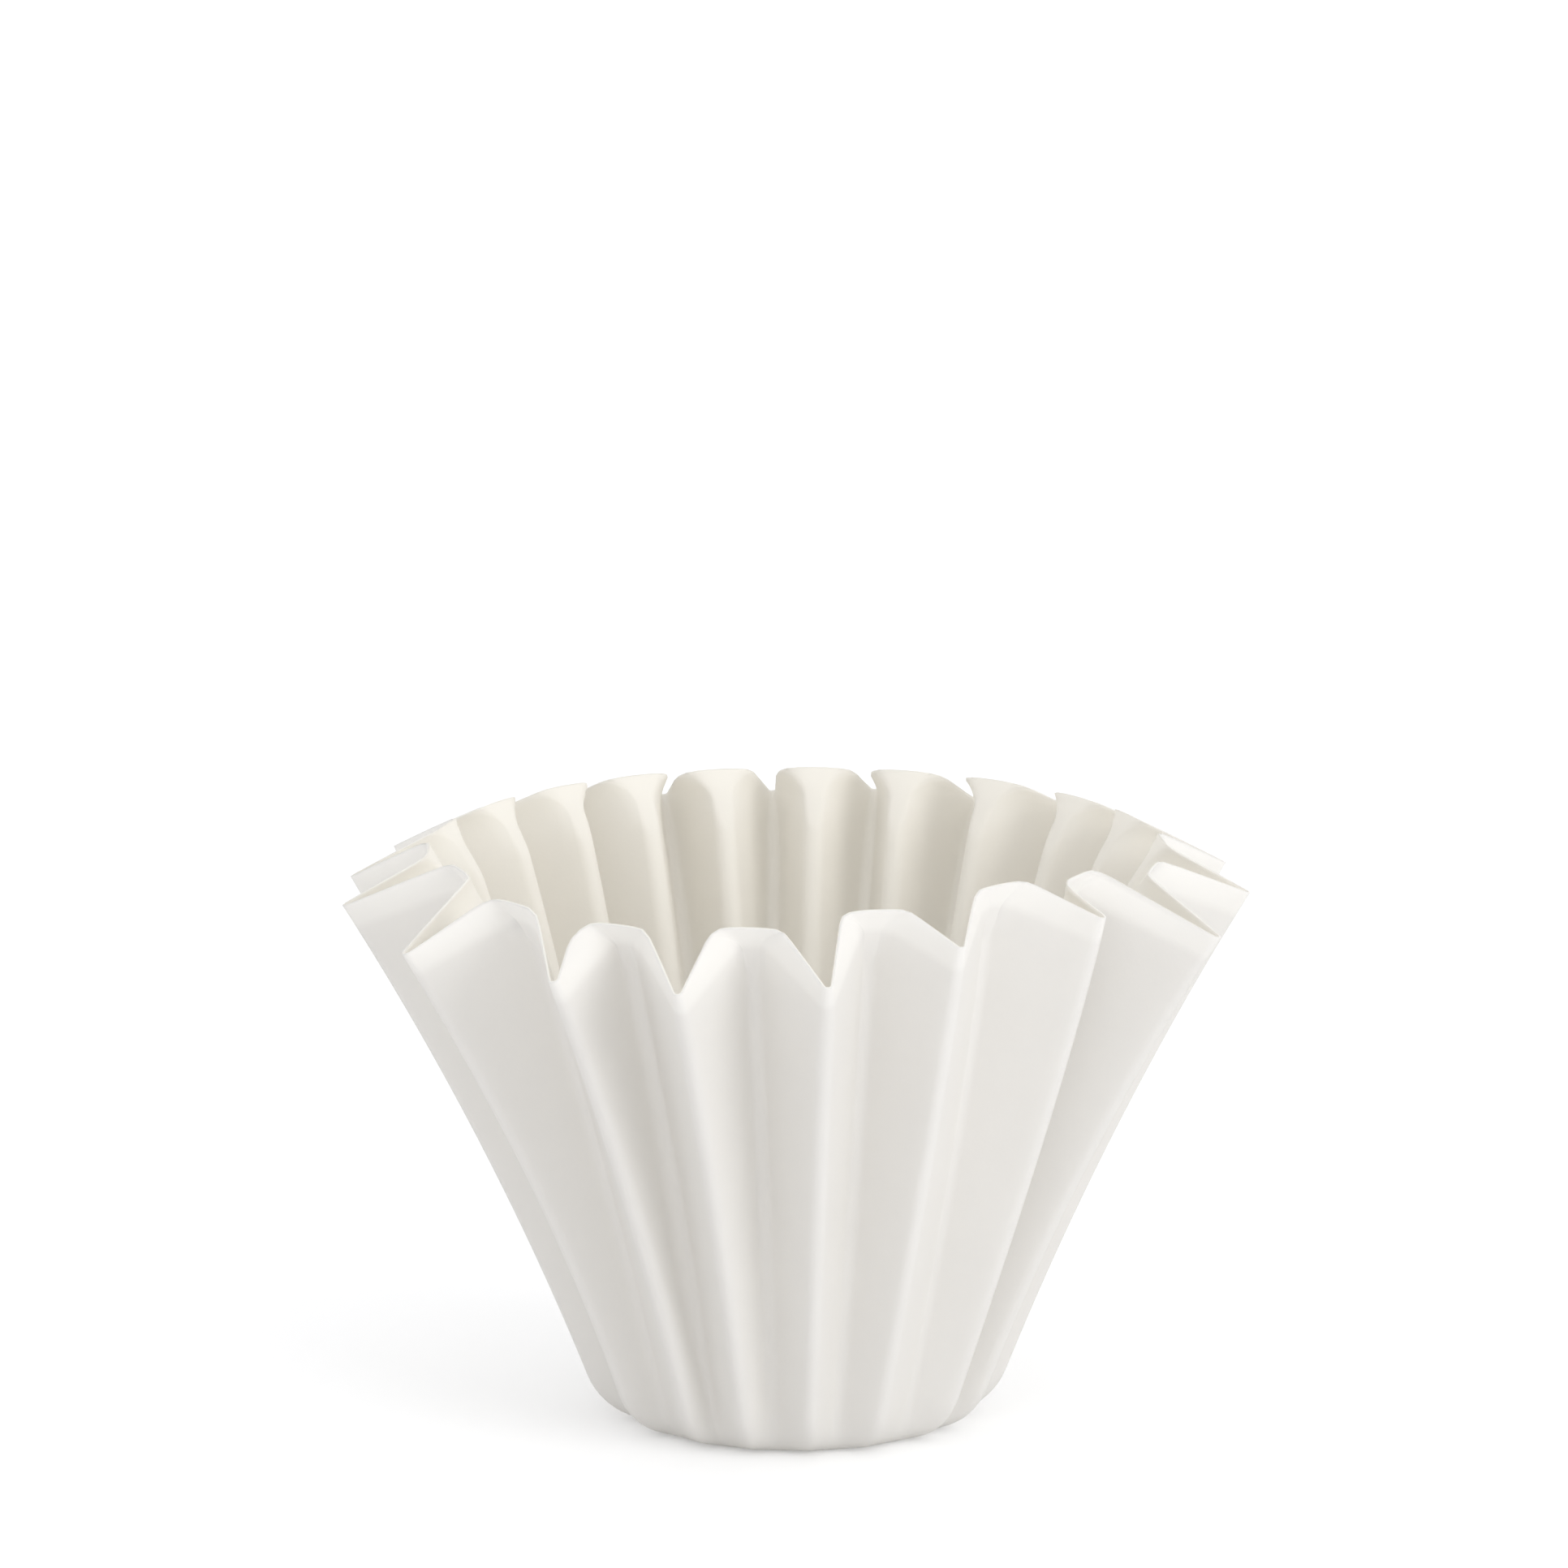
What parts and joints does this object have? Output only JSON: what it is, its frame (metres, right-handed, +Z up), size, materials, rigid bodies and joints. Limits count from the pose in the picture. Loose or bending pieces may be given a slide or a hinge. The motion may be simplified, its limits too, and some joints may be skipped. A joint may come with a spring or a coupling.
{
  "type": "paper coffee filter",
  "caption": "Round white paper coffee filter pressed into a flat-bottomed cup, with a fluted wall that flares to a zigzag rim.",
  "frame": {"origin": "centre of the underside of the flat base, where it rests on the table", "axes": "+Z up along the axis of the cup, towards the rim; an outer fold points along each of +X, -X, +Y and -Y"},
  "size_m": [0.1074, 0.1074, 0.0705],
  "materials": {
    "filter_paper": "matt"
  },
  "bodies": {
    "root": {"fluted_filter": "filter_paper"}
  },
  "joints": []
}
